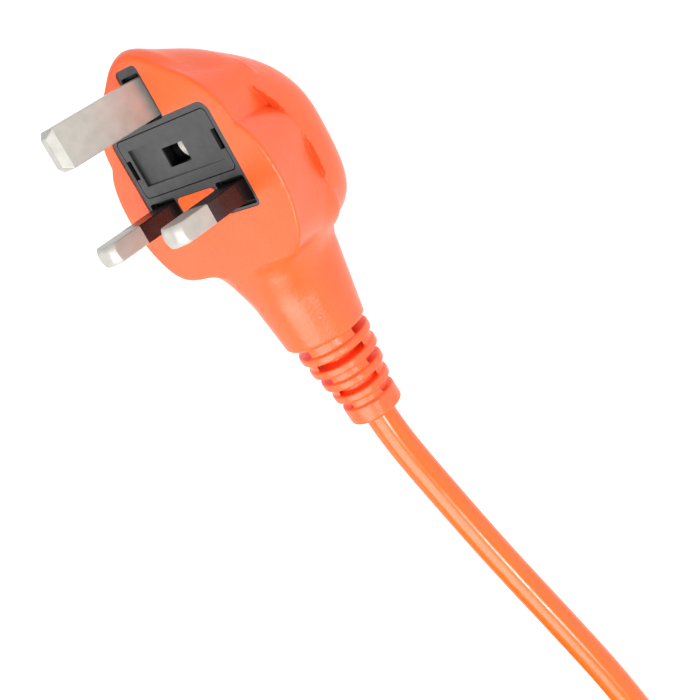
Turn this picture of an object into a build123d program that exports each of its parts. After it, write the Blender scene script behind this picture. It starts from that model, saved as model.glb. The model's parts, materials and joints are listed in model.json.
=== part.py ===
from build123d import *
import os
from math import cos, pi, radians, sin, sqrt

# Extension lead: a moulded three-pin fused plug lying on its back with its pins up, its flexible cord,
# the spare length wound in a tied coil, and a trailing socket on the far end.
# Millimetres. The plug and the socket are each drawn in a frame of their own and placed at the end.

# ---------------------------------------------------------------- plug: driving dimensions
# Plug frame: origin between the line and neutral pins on the engagement face, +X from line to neutral,
# +Y towards the earth pin, +Z out of the face. Depth into the plug is -Z.
PIN_SPREAD = 11.115           # line and neutral pins, each side of the centre line
EARTH_Y = 22.23               # earth pin above the line and neutral pins
EARTH_PIN = (3.975, 7.95, 22.73)
LIVE_PIN = (6.35, 3.975, 17.7)
SLEEVE_TOP = 9.3              # end of the insulating sleeves above the face
SLEEVE_WALL = 0.5
FUSE_RADIUS, FUSE_LENGTH, FUSE_CAP = 3.175, 25.4, 6.35
FUSE_Y, FUSE_DEPTH = 10.4, 5.95   # fuse axis

BODY_DEPTH = 25.0             # engagement face to the back that the plug lies on
BODY_TOP, BODY_BOTTOM = 31.0, -14.9
NECK_DEPTH = 12.3             # axis of the neck below the face
NECK_END = -36.5
RELIEF_END = -57.0
RELIEF_TILT = 4.0             # droop of the strain relief, degrees
CORD_RADIUS = 3.4

BRIDGE_DEPTH = 11.2           # black pin carrier
BRIDGE_RECESS = 0.2           # its face below the orange face
BRIDGE_HALF = 16.3
BRIDGE_TOP, BRIDGE_LEDGE, BRIDGE_FOOT = 18.0, 2.4, -3.6
EARTH_TONGUE = (3.45, 28.6)   # half width and top of the tongue round the earth pin
TONGUE_DEPTH = 5.0            # the tongue is shallower than the block, within the body's sloping top
EAR_INNER = 6.1

CARRIER = (29.5, 12.3, 9.0)   # fuse carrier: width, height, depth
CARRIER_GAP = 0.2             # running clearance round the fuse carrier
WINDOW = (7.0, 4.0, 0.5)      # fuse window: width, height, offset from the centre line
EARTH_ROOT = 8.0              # root of the earth pin
TAIL_DEPTH = 14.6             # crimped terminals, behind the carrier
CRIMP = (2.0, 1.35, 7.0)      # outer radius, bore radius, length
CORE_RADIUS = 1.25

# ---------------------------------------------------------------- placing and writing
LN_Y = -(BODY_TOP + RELIEF_END) / 2    # puts the plug's middle over the origin
PLUG_AT = Pos(0, LN_Y, BODY_DEPTH)

os.makedirs("parts", exist_ok=True)


def write(name, shape):
    export_step(shape, "parts/" + name + ".step")


def block(x0, x1, y0, y1, z0, z1):
    """Box between two opposite corners."""
    return Pos((x0 + x1) / 2, (y0 + y1) / 2, (z0 + z1) / 2) * Box(x1 - x0, y1 - y0, z1 - z0)


def rod_y(radius, y0, y1, x=0.0, z=0.0):
    """Cylinder along Y."""
    return Pos(x, (y0 + y1) / 2, z) * Rot(90, 0, 0) * Cylinder(radius, abs(y1 - y0))


def rod_x(radius, x0, x1, y=0.0, z=0.0):
    """Cylinder along X."""
    return Pos((x0 + x1) / 2, y, z) * Rot(0, 90, 0) * Cylinder(radius, abs(x1 - x0))


def rod_z(radius, z0, z1, x=0.0, y=0.0):
    """Cylinder along Z."""
    return Pos(x, y, (z0 + z1) / 2) * Cylinder(radius, abs(z1 - z0))


def slab(width, height, corner, z0, z1, x=0.0, y=0.0):
    """Plate with rounded corners between two levels."""
    sketch = Pos(x, y, min(z0, z1)) * RectangleRounded(width, height, corner)
    return extrude(sketch, abs(z1 - z0))


# ---------------------------------------------------------------- cords and cores
def route_radii(points):
    """Arc radius at each inner point: 0.45 of the shorter run over the tangent of half the turn."""
    radii = []
    for a, b, c in zip(points, points[1:], points[2:]):
        first, second = Vector(*b) - Vector(*a), Vector(*c) - Vector(*b)
        half_turn = radians(first.get_angle(second)) / 2
        radii.append(0.45 * min(first.length, second.length) / (sin(half_turn) / cos(half_turn)))
    return radii


def tube(points, radius, label=None):
    """Round tube along straight runs joined by tangent arcs."""
    radii = route_radii(points)
    path = FilletPolyline(*points, radius=radii)
    start = Vector(*points[1]) - Vector(*points[0])
    section = Plane(origin=points[0], z_dir=start) * Circle(radius)
    solid = sweep(section, path=path)
    if label:
        print(label, "length %.1f mm" % path.length, "volume ratio %.4f" %
              (solid.volume / (pi * radius ** 2 * path.length)))
        print("  radii in diameters:", ["%.1f" % (r / (2 * radius)) for r in radii])
    return solid


# ---------------------------------------------------------------- plug: pins, sleeves and fuse
def earth_pin():
    wide, tall, out = EARTH_PIN
    chamfer_start = out - 1.5
    shank = slab(wide, tall, 0.3, -EARTH_ROOT, chamfer_start, y=EARTH_Y)
    foot = Pos(0, EARTH_Y, chamfer_start) * RectangleRounded(wide, tall, 0.3)
    tip = Pos(0, EARTH_Y, out) * RectangleRounded(1.7, 5.8, 0.3)
    drop = block(-0.9, 0.9, BRIDGE_TOP + 0.6, EARTH_Y, -TAIL_DEPTH - 0.6, -EARTH_ROOT)
    tail = block(-0.9, 0.9, 10.5, EARTH_Y, -TAIL_DEPTH - 0.6, -TAIL_DEPTH + 0.6)
    return shank + loft([foot, tip]) + drop + tail


def live_pin(x):
    """Line or neutral pin: full size beyond its sleeve, thinner inside it, with a turned, rounded tip."""
    wide, thick, out = LIVE_PIN
    crown = Spline((0, out), (2.0, out - 0.15), (3.2, out - 1.05), (4.2, out - 3.1), tangents=[(1, 0), (0.35, -1)])
    flank = Polyline((4.2, out - 3.1), (4.2, SLEEVE_TOP), (0, SLEEVE_TOP), (0, out))
    turned = revolve(Plane.XZ * make_face([crown, flank]), Axis.Z)
    exposed = slab(wide, thick, 0.3, SLEEVE_TOP, out) & turned
    root = block(SLEEVE_WALL - wide / 2, wide / 2 - SLEEVE_WALL,
                 SLEEVE_WALL - thick / 2, thick / 2 - SLEEVE_WALL, -BRIDGE_DEPTH, SLEEVE_TOP)
    return Pos(x, 0, 0) * (exposed + root)


def pin_sleeve(x):
    wide, thick, _ = LIVE_PIN
    outer = slab(wide, thick, 0.25, -3.0, SLEEVE_TOP)
    inner = block(SLEEVE_WALL - wide / 2, wide / 2 - SLEEVE_WALL,
                  SLEEVE_WALL - thick / 2, thick / 2 - SLEEVE_WALL, -4.0, SLEEVE_TOP + 1)
    return Pos(x, 0, 0) * (outer - inner)


def fuse_clip(side):
    """Spring clip under one end cap: a floor plate and two leaves."""
    x0, x1 = sorted((side * 6.7, side * 12.4))
    floor = block(x0, x1, FUSE_Y - 3.9, FUSE_Y + 3.9, -10.1, -9.3)
    leaves = [block(x0, x1, FUSE_Y + s * 3.25 - (0.6 if s < 0 else 0), FUSE_Y + s * 3.25 + (0.6 if s > 0 else 0),
                    -9.3, -4.2) for s in (-1, 1)]
    return floor + leaves[0] + leaves[1]


def line_clip():
    """Clip that joins the fuse to the line pin."""
    leg = block(-12.4, -9.8, LIVE_PIN[1] / 2 - SLEEVE_WALL, FUSE_Y - 3.9, -10.1, -9.3)
    return fuse_clip(-1) + leg


def supply_clip():
    """Clip that joins the fuse to the brown core's crimp."""
    drop = block(6.7, 8.3, FUSE_Y - 3.9, FUSE_Y - 2.9, -TAIL_DEPTH - 0.6, -10.1)
    tail = block(4.3, 8.3, FUSE_Y - 3.9, FUSE_Y - 2.9, -TAIL_DEPTH - 0.6, -TAIL_DEPTH + 0.6)
    tongue = block(4.3, 6.1, 0.0, FUSE_Y - 2.9, -TAIL_DEPTH - 0.6, -TAIL_DEPTH + 0.6)
    return fuse_clip(1) + drop + tail + tongue


def neutral_pin():
    x0, x1 = PIN_SPREAD - 0.9, PIN_SPREAD + 0.9
    mouth = CRIMPS["blue"][1]
    drop = block(x0, x1, mouth + 0.2, 1.4, -TAIL_DEPTH - 0.6, -BRIDGE_DEPTH)
    tail = block(x0, x1, mouth - 3.5, mouth + 0.2, -TAIL_DEPTH - 0.6, -TAIL_DEPTH + 0.6)
    return live_pin(PIN_SPREAD) + drop + tail


def fuse_barrel():
    inside = rod_x(FUSE_RADIUS - 0.25, -FUSE_LENGTH / 2 + 0.3, FUSE_LENGTH / 2 - 0.3)
    return Pos(0, FUSE_Y, -FUSE_DEPTH) * inside


def fuse_caps():
    half = FUSE_LENGTH / 2
    caps = []
    for side in (-1, 1):
        x0, x1 = sorted((side * half, side * (half - FUSE_CAP)))
        cap = fillet(rod_x(FUSE_RADIUS, x0, x1).edges().group_by(Axis.X)[-1 if side > 0 else 0], 0.3)
        caps.append(Pos(0, FUSE_Y, -FUSE_DEPTH) * cap - fuse_barrel())
    return caps


# Each crimp: centre of its mouth towards the pins, in the plug frame
CRIMPS = {"green_yellow": (0.0, 14.0), "brown": (5.2, 2.5), "blue": (PIN_SPREAD, -3.5)}
CORE_EXITS = {"green_yellow": (0.0, 1.75), "brown": (-1.5, -0.9), "blue": (1.5, -0.9)}
SHEATH_START = -34.0          # end of the sheath inside the neck
CORE_GAP = 0.15               # the sheath's end is slightly tilted, so the cores start this far off it


def crimp(name):
    x, y = CRIMPS[name]
    outer, bore, length = CRIMP
    return rod_y(outer, y - length, y, x, -TAIL_DEPTH) - rod_y(bore, y - length, y, x, -TAIL_DEPTH)


def core(name):
    """Insulated core from the sheath's end to its crimp, with its bare end in the crimp."""
    x, y = CRIMPS[name]
    dx, dz = CORE_EXITS[name]
    mouth = y - CRIMP[2]
    start = (dx, SHEATH_START + CORE_GAP, -NECK_DEPTH + dz)
    bend_out = (dx, SHEATH_START + 0.35 * (mouth - SHEATH_START), -NECK_DEPTH + dz)
    bend_in = (x, mouth - 5.0, -TAIL_DEPTH)
    return tube([start, bend_out, bend_in, (x, mouth, -TAIL_DEPTH)], CORE_RADIUS)


def core_end(name):
    """Bare conductor gripped in the crimp, from its mouth."""
    x, y = CRIMPS[name]
    mouth = y - CRIMP[2]
    return rod_y(CRIMP[1], mouth, mouth + 3.2, x, -TAIL_DEPTH)


# ---------------------------------------------------------------- plug: carrier, bridge and body
def bridge_outline():
    """Outline of the black insert: a wide block, a foot round each lower pin, a tongue at the earth pin."""
    half_tongue, tongue_top = EARTH_TONGUE
    right = [(0, tongue_top), (half_tongue, tongue_top), (half_tongue, BRIDGE_TOP), (BRIDGE_HALF, BRIDGE_TOP),
             (BRIDGE_HALF, BRIDGE_FOOT), (EAR_INNER, BRIDGE_FOOT), (EAR_INNER, BRIDGE_LEDGE), (0, BRIDGE_LEDGE)]
    left = [(-x, y) for x, y in right[-2:0:-1]]
    face = make_face(Polyline(*right, *left, close=True))
    shoulders = face.vertices().filter_by(lambda v: abs(v.X) > BRIDGE_HALF - 1 and v.Y > BRIDGE_TOP - 1)
    face = fillet(shoulders, 2.5)
    corners = face.vertices().filter_by(lambda v: abs(v.X) > 1 and not BRIDGE_TOP - 3 < v.Y < BRIDGE_TOP + 1)
    necks = face.vertices().filter_by(lambda v: EARTH_TONGUE[0] - 0.1 < abs(v.X) < EARTH_TONGUE[0] + 0.1
                                      and v.Y < BRIDGE_TOP + 0.1)
    return fillet(list(corners) + list(necks), 1.1)


def bridge_block(top):
    """Insert's outer shape up to a level, with the shallow tongue at the earth pin."""
    whole = extrude(Pos(0, 0, -BRIDGE_DEPTH) * bridge_outline(), top + BRIDGE_DEPTH)
    return whole - block(-6, 6, BRIDGE_TOP, 32, -BRIDGE_DEPTH - 1, -TONGUE_DEPTH)


def fuse_carrier():
    """Drawer that holds the fuse: lid with a window, notches for a screwdriver, and walls beside the fuse."""
    wide, tall, deep = CARRIER
    top = -BRIDGE_RECESS
    body = slab(wide, tall, 1.1, top - deep, top, y=FUSE_Y)
    cavity = block(-13.1, 13.1, FUSE_Y - 4.15, FUSE_Y + 4.15, top - deep - 1, -2.6)
    window = slab(WINDOW[0], WINDOW[1], 0.2, -4, 1, WINDOW[2], FUSE_Y)
    panel = Pos(0.3, FUSE_Y, top + 0.66) * Rot(0, -1.1, 0) * Box(25.8, 7.9, 2.0)
    body = body - cavity - window - panel
    for side in (-1, 1):
        x0, x1 = sorted((side * 13.45, side * (wide / 2 + 1)))
        body -= block(x0, x1, FUSE_Y - 2.05, FUSE_Y + 2.05, top - 2.0, top + 1)
        y0, y1 = sorted((FUSE_Y + side * 4.15, FUSE_Y + side * (FUSE_RADIUS - 0.2)))
        body += block(-4.5, 4.5, y0, y1, -8.8, -2.6)
    return body - rod_x(FUSE_RADIUS - 0.2, -5, 5, FUSE_Y, -FUSE_DEPTH) - window


def pin_bridge(inside):
    """Insert that carries the pins, the clips and the drawer's pocket; inside is what it is cut round."""
    wide, tall, deep = CARRIER
    top = -BRIDGE_RECESS
    body = bridge_block(top)
    body -= slab(wide + 2 * CARRIER_GAP, tall + 2 * CARRIER_GAP, 1.2, -10.1, top + 1, y=FUSE_Y)
    earth_x, earth_y, _ = EARTH_PIN
    live_x, live_y, _ = LIVE_PIN
    body -= slab(earth_x + 1.7, earth_y + 1.4, 0.4, top - 0.9, top + 1, y=EARTH_Y + 0.1)
    body -= slab(earth_x + 0.7, earth_y + 0.6, 0.3, top - 1.6, top + 1, y=EARTH_Y)
    for x in (-PIN_SPREAD, PIN_SPREAD):
        body -= slab(live_x + 2.2, live_y + 1.9, 0.5, top - 0.9, top + 1, x, -0.1)
        body -= slab(live_x + 0.9, live_y + 0.8, 0.3, top - 1.6, top + 1, x)
    for piece in inside:
        body -= piece
    return body


def face_outline():
    """Engagement face: rounded top, a waist for finger and thumb on each side, flat foot above the neck."""
    right = [(0, BODY_TOP), (8.4, 27.3), (15.8, 22.2), (19.6, 16.8), (20.4, 12.4), (23.0, 9.0), (24.8, 1.0),
             (23.2, -8.0), (18.8, -13.4), (11.0, BODY_BOTTOM)]
    left = [(-x, y) for x, y in right[:0:-1]]
    return right + left


def grip_outline():
    """Outline at the rear of the finger grips, where the sides are pinched in."""
    right = [(0, 25.5), (6.8, 23.6), (12.6, 20.2), (15.8, 15.4), (17.4, 10.8), (19.0, 6.6), (19.9, 0.5),
             (19.8, -7.2), (17.6, -13.6), (10.6, -16.6)]
    left = [(-x, y) for x, y in right[:0:-1]]
    return right + left


def level_face(points, z):
    return make_face(Spline(*[(x, y, z) for x, y in points], periodic=True))


GRIP_DEPTH = 15.0             # depth of the grip outline below the face
DOME_CENTRE = 1.0             # widest level of the domed back
DOME_HALF = 22.2
DOME_FLAT = BODY_DEPTH + 0.2  # depth at which the dome's formula closes
RIM_RADIUS, RIM_PEAK, RIM_Y = 37.0, 14.3, -2.0   # front rim of the dome behind the grips


def dome_section(depth):
    """Egg-shaped section of the domed back: fuller at the bottom, drawn in at the top with depth."""
    closing = (1 - max(0.0, (depth - 6) / (DOME_FLAT - 6)) ** 3.7) ** (1 / 3.7)
    half = DOME_HALF * closing
    up = (31.8 - 0.55 * depth) * closing ** 0.4
    down = 19.0 * closing ** 0.3
    points = []
    for step in range(24):
        angle = 2 * pi * step / 24
        power, reach = (2 / 2.3, up) if cos(angle) >= 0 else (2 / 3.0, down)
        x = half * abs(sin(angle)) ** power * (1 if sin(angle) >= 0 else -1)
        y = DOME_CENTRE + reach * abs(cos(angle)) ** power * (1 if cos(angle) >= 0 else -1)
        points.append((x, y))
    return level_face(points, -depth)


def neck():
    """Tapered neck, turned about its own axis."""
    profile = [(12.1, -12.0), (12.1, -15.0), (11.9, -18.0), (11.0, -21.0), (10.1, -25.0), (9.5, -30.0),
               (8.75, NECK_END)]
    edge = Spline(*[(r, y) for r, y in profile[:-1]]) + Line(profile[-2], (8.85, NECK_END + 0.7))
    edge += Line((8.85, NECK_END + 0.7), (8.2, NECK_END))
    edge += Polyline((8.2, NECK_END), (0, NECK_END), (0, -12.0), profile[0])
    return Pos(0, 0, -NECK_DEPTH) * revolve(make_face(edge), Axis.Y)


RING_RADII = (8.18, 7.76, 7.10, 6.52, 6.04)
RING_STARTS = (1.8, 5.4, 9.1, 12.7, 16.4)    # along the relief from the neck's end
RING_WIDTH = 1.9
RELIEF_LENGTH = NECK_END - RELIEF_END
RELIEF_CORE = 4.5


def strain_relief():
    """Five rings joined by webs that alternate a quarter turn, so that it bends every way."""
    relief = rod_y(RELIEF_CORE, 0.5, -RELIEF_LENGTH)
    previous_end = 0.0
    for number, (radius, start) in enumerate(zip(RING_RADII, RING_STARTS)):
        last = number == len(RING_RADII) - 1
        end = RELIEF_LENGTH if last else start + RING_WIDTH
        ring = rod_y(radius, -start, -end)
        ring = fillet(ring.edges().filter_by(GeomType.CIRCLE), 0.45)
        web = rod_y(radius - 0.6, -previous_end + 0.4, -start - 0.4)
        slot = block(-20, 20, -start, -previous_end, -0.68 * radius, 0.68 * radius)
        if number == 0:
            web = rod_y(radius - 0.3, -previous_end + 0.4, -start - 0.4)
        relief += ring + (web - Rot(0, 90 * (number % 2), 0) * slot)
        previous_end = end
    return Pos(0, NECK_END, -NECK_DEPTH) * Rot(RELIEF_TILT, 0, 0) * Rot(0, 45, 0) * relief


def plug_body(inside):
    """Over-moulding: face block with finger grips, domed back, neck and strain relief, in one piece."""
    front = loft([level_face(face_outline(), 0), level_face(grip_outline(), -GRIP_DEPTH)])
    dome = loft([dome_section(d) for d in (4, 8, 12, 16, 19, 21.5, 23.4, 24.5, BODY_DEPTH)])
    dome -= Pos(0, RIM_Y, RIM_RADIUS - RIM_PEAK) * Rot(0, 90, 0) * Cylinder(RIM_RADIUS, 80)
    body = front + dome + neck() + strain_relief()
    body -= bridge_block(1)
    for piece in inside:
        body -= piece
    return body


# ---------------------------------------------------------------- cord, coil and tie (row frame)
def relief_point(along, drop=0.0):
    """Point on the strain relief's axis, a distance along it from the neck's end."""
    tilt = radians(RELIEF_TILT)
    return (0.0, LN_Y + NECK_END - along * cos(tilt), BODY_DEPTH - NECK_DEPTH - along * sin(tilt) - drop)


COIL_CENTRE = (-24.6, -200.0)
TURN_PITCH = 6.9
LAYERS, LAYER_TURNS = 6, 2.75
COIL_OUTER = 48.6             # centre line of the outermost turn
COIL_INNER = COIL_OUTER - LAYER_TURNS * TURN_PITCH
COIL_HEIGHT = LAYERS * 2 * CORD_RADIUS
TIE = (16.0, 1.6)             # width and thickness of the strap
TIE_ANGLE = -45.0             # where the strap goes round the coil, degrees

LEAD_ROUTE = [(0.0, LN_Y + SHEATH_START, BODY_DEPTH - NECK_DEPTH), relief_point(4.0), relief_point(14.0),
              (0.6, -50.5, 11.2), (4.3, -64.6, 10.6), (9.6, -85.8, 9.0), (15.0, -106.3, 6.8),
              (19.8, -126.2, 4.7), (22.8, -146.4, 3.5), (24.0, -166.0, CORD_RADIUS), (24.05, -184.0, CORD_RADIUS)]

SOCKET_SIZE = (60.0, 64.0, 36.0)
SOCKET_AT = (COIL_CENTRE[0] - 25.4, COIL_CENTRE[1] + 36.0, COIL_HEIGHT)    # middle of its back, on the coil
SOCKET_AXIS = 14.0            # height of the cord's entry above the socket's back
SLEEVE_LENGTH = 22.0          # rubber sleeve outside the socket

# The tail leaves the top layer's outer turn, turns back over the coil and rises to the socket's sleeve.
# Each point is (from the coil's centre, from the coil's centre, height).
TAIL_TURN = [(48.7, -6.0, 37.4), (50.6, -30.3, 41.0), (36.1, -50.3, 45.5), (12.6, -58.0, 49.8),
             (-10.9, -50.3, 53.0), (-25.4, -30.3, 54.6), (-25.42, -5.0, 54.8), (-25.4, 19.0, 54.8)]
TAIL_ROUTE = [(COIL_CENTRE[0] + x, COIL_CENTRE[1] + y, z) for x, y, z in TAIL_TURN]


def cord_tie():
    """Strap round the coil's section."""
    width, thick = TIE
    inner_edge, outer_edge = COIL_INNER - CORD_RADIUS - 0.8, COIL_OUTER + CORD_RADIUS + 0.2
    high = COIL_HEIGHT + thick
    band = block(inner_edge - thick, outer_edge + thick, -width / 2, width / 2, 0, high)
    band -= block(inner_edge, outer_edge, -width / 2 - 1, width / 2 + 1, thick, high - thick)
    return Pos(COIL_CENTRE[0], COIL_CENTRE[1], 0) * Rot(0, 0, TIE_ANGLE) * band


def cord_coil():
    """Outer shape of the wound turns, pinched where the strap goes round them."""
    outer = rod_z(COIL_OUTER + CORD_RADIUS, 0, COIL_HEIGHT, *COIL_CENTRE)
    return outer - rod_z(COIL_INNER - CORD_RADIUS, -1, COIL_HEIGHT + 1, *COIL_CENTRE) - cord_tie()


# ---------------------------------------------------------------- trailing socket (own frame, back at z=0)
S_WIDE, S_LONG, S_HIGH = SOCKET_SIZE
S_WALL = 2.6
S_PART = SOCKET_AXIS          # parting line between base and cover
S_FACE = 4.6                  # thickness of the face plate
S_PINS_Y = -4.0               # line and neutral apertures
APERTURE_LIVE = (7.2, 4.7)
APERTURE_EARTH = (4.7, 8.8)
SHUTTER_TRAVEL = 5.2
SHUTTER_TOP = S_HIGH - S_FACE - 0.2
SHUTTER_THICK = 2.4
SCREW_X, SCREW_Y = 22.5, 10.0
BOSS_RADIUS, SCREW_RADIUS = 3.4, 1.5
RAIL_X = 17.3


def socket_cover():
    """Upper shell: face with the three apertures, side walls, screw posts and the shutter's rails."""
    outer = slab(S_WIDE, S_LONG, 12, S_PART, S_HIGH)
    outer = fillet(outer.faces().sort_by(Axis.Z)[-1].edges(), 3.2)
    cavity = slab(S_WIDE - 2 * S_WALL, S_LONG - 2 * S_WALL, 9.4, S_PART - 1, S_HIGH - S_FACE)
    cover = outer - cavity
    for side in (-1, 1):
        cover -= slab(*APERTURE_LIVE, 0.4, 10, S_HIGH + 1, side * PIN_SPREAD, S_PINS_Y)
        cover += rod_z(BOSS_RADIUS, S_PART, S_HIGH - S_FACE + 0.5, side * SCREW_X, SCREW_Y)
        cover -= rod_z(SCREW_RADIUS, S_PART - 1, S_PART + 12, side * SCREW_X, SCREW_Y)
        rail = block(RAIL_X, RAIL_X + 1.2, -15, 7, SHUTTER_TOP - 4.0, S_HIGH - S_FACE + 0.5)
        lip = block(RAIL_X - 1.2, RAIL_X + 1.2, -15, 7, SHUTTER_TOP - 4.0, SHUTTER_TOP - SHUTTER_THICK - 0.3)
        cover += rail + lip if side > 0 else mirror(rail + lip, Plane.YZ)
    cover -= slab(*APERTURE_EARTH, 0.4, 10, S_HIGH + 1, 0, S_PINS_Y + EARTH_Y)
    cover += block(-3, 3, 10.0, 11.4, SHUTTER_TOP - 4.0, S_HIGH - S_FACE + 0.5)
    return cover - rod_y(5.2, -S_LONG / 2 - 1, -S_LONG / 2 + S_WALL + 1, 0, SOCKET_AXIS)


def socket_base():
    """Lower shell: floor, side walls, screw posts, terminal seats and the clamp's seat."""
    outer = slab(S_WIDE, S_LONG, 12, 0, S_PART)
    outer = fillet(outer.faces().sort_by(Axis.Z)[0].edges(), 3.2)
    base = outer - slab(S_WIDE - 2 * S_WALL, S_LONG - 2 * S_WALL, 9.4, S_WALL, S_PART + 1)
    for side in (-1, 1):
        base += rod_z(BOSS_RADIUS + 0.6, 1, S_PART, side * SCREW_X, SCREW_Y)
        base -= rod_z(SCREW_RADIUS + 0.1, -1, S_PART + 1, side * SCREW_X, SCREW_Y)
        base -= rod_z(3.0, -1, 5.0, side * SCREW_X, SCREW_Y)
        base += slab(9.0, 6.5, 0.8, S_WALL - 0.5, 5.4, side * PIN_SPREAD, S_PINS_Y - 8.0)
        base += rod_z(2.4, 2, 10.2, side * 8.0, -22.5)
        base -= rod_z(1.2, 4, 12, side * 8.0, -22.5)
    base += slab(9.0, 7.0, 0.8, S_WALL - 0.5, 5.4, 0, S_PINS_Y + EARTH_Y - 8.5)
    base += block(-5, 5, -24.5, -20.5, 2, SOCKET_AXIS - CORD_RADIUS)
    return base - rod_y(5.2, -S_LONG / 2 - 1, -S_LONG / 2 + S_WALL + 1, 0, SOCKET_AXIS)


def shutter():
    """Sliding plate that closes the line and neutral apertures, with the two windows that open them."""
    y_low, y_high = S_PINS_Y - 10.0, S_PINS_Y + 4.2
    plate = slab(2 * RAIL_X - 0.8, y_high - y_low, 0.6, SHUTTER_TOP - SHUTTER_THICK, SHUTTER_TOP,
                 0, (y_low + y_high) / 2)
    for side in (-1, 1):
        window_y = S_PINS_Y - SHUTTER_TRAVEL
        plate -= slab(7.6, 5.0, 0.4, SHUTTER_TOP - 4, SHUTTER_TOP + 1, side * PIN_SPREAD, window_y)
        ramp = Pos(side * PIN_SPREAD, S_PINS_Y - 1.9, SHUTTER_TOP) * Rot(28, 0, 0) * Box(7.4, 3.4, 1.6)
        plate -= ramp
    return plate


def shutter_spring():
    """Light coil spring between the shutter and the post behind it."""
    start, end = S_PINS_Y + 4.2, 10.0
    coil = Helix(pitch=1.15, height=end - start - 0.7, radius=1.35)
    section = Plane(origin=coil @ 0, z_dir=coil % 0) * Circle(0.22)
    wire = sweep(section, path=coil, is_frenet=True)
    return Pos(0, start + 0.35, SHUTTER_TOP - 1.6) * Rot(-90, 0, 0) * wire


def contact(x, y, pin_width, pin_thick, along_x, top, block_y):
    """Two spring blades that grip a pin, the strap under them and the terminal block with its wire hole."""
    gap, metal = pin_thick / 2 + 0.2, 0.8
    half = pin_width / 2
    pieces = []
    for side in (-1, 1):
        lo, hi = sorted((side * gap, side * (gap + metal)))
        pieces.append(block(-half, half, lo, hi, 10.6, top) if along_x else block(lo, hi, -half, half, 10.6, top))
    reach = gap + metal
    floor = block(-half, half, -reach, reach, 9.8, 10.6) if along_x else block(-reach, reach, -half, half, 9.8, 10.6)
    strap = block(-2.5, 2.5, block_y - y - 2.5, 0, 9.8, 10.6)
    terminal = block(-3.2, 3.2, block_y - y - 2.8, block_y - y + 2.8, 5.4, 10.6)
    terminal -= rod_y(1.5, block_y - y - 4, block_y - y + 4, 0, 7.4)
    terminal -= rod_z(1.3, 7.0, 11, 0, block_y - y)
    whole = floor + strap - rod_z(1.3, 7.0, 11, 0, block_y - y)
    for piece in pieces:
        whole += piece
    return Pos(x, y, 0) * (whole + terminal)


def terminal_screw(x, y):
    """Clamping screw of a terminal block, its tip on the wire."""
    shank = rod_z(1.3, 8.2, 11.4)
    head = rod_z(2.1, 10.6, 12.4) - block(-2.2, 2.2, -0.35, 0.35, 11.7, 13)
    return Pos(x, y, 0) * (shank + head)


TERMINALS = {"brown": (PIN_SPREAD, S_PINS_Y - 8.0), "blue": (-PIN_SPREAD, S_PINS_Y - 8.0),
             "green_yellow": (0.0, S_PINS_Y + EARTH_Y - 8.5)}
SHEATH_END = -17.0            # end of the sheath inside the socket


def socket_core(name):
    """Core from the sheath's end to its terminal, with the bare end under the screw."""
    x, y = TERMINALS[name]
    side = (x > 0) - (x < 0)
    mouth = y - 2.8
    dx, dz = 1.5 * side, -0.9 if side else 1.75
    points = [(dx, SHEATH_END + CORE_GAP, SOCKET_AXIS + dz), (dx, SHEATH_END + 1.5, SOCKET_AXIS + dz)]
    if side:
        points += [(x * 0.5, SHEATH_END + 1.4, 10.8), (x, mouth - 3.2, 7.4)]
    else:
        points += [(0.3, -8.0, 15.4), (0.1, 0.5, 9.6), (0, mouth - 2.5, 7.4)]
    return tube(points + [(x, mouth, 7.4)], CORE_RADIUS)


def wire_end(name):
    """Bare strands in the terminal's hole, flattened by the screw."""
    x, y = TERMINALS[name]
    return rod_y(0.8, y - 2.8, y + 2.4, x, 7.4)


def cord_clamp():
    """Bar over the sheath, held down by two screws."""
    bar = block(-11, 11, -24.5, -20.5, SOCKET_AXIS + CORD_RADIUS - 3.2, SOCKET_AXIS + CORD_RADIUS + 1.6)
    bar = fillet(bar.edges().filter_by(Axis.Z), 1.0)
    bar -= rod_y(CORD_RADIUS, -30, -15, 0, SOCKET_AXIS)
    for side in (-1, 1):
        bar -= rod_z(1.3, 0, 30, side * 8.0, -22.5)
    return bar


def clamp_screw(x):
    top = SOCKET_AXIS + CORD_RADIUS + 1.6
    head = rod_z(2.2, top, top + 1.6) - block(-2.3, 2.3, -0.35, 0.35, top + 0.9, top + 2)
    return Pos(x, -22.5, 0) * (rod_z(1.2, 5.0, top) + head)


def cover_screw(x):
    head = rod_z(2.8, 2.4, 4.9) - block(-2.0, 2.0, -0.4, 0.4, 2.0, 3.4) - block(-0.4, 0.4, -2.0, 2.0, 2.0, 3.4)
    return Pos(x, SCREW_Y, 0) * (head + rod_z(SCREW_RADIUS, 4.9, S_PART + 10))


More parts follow.
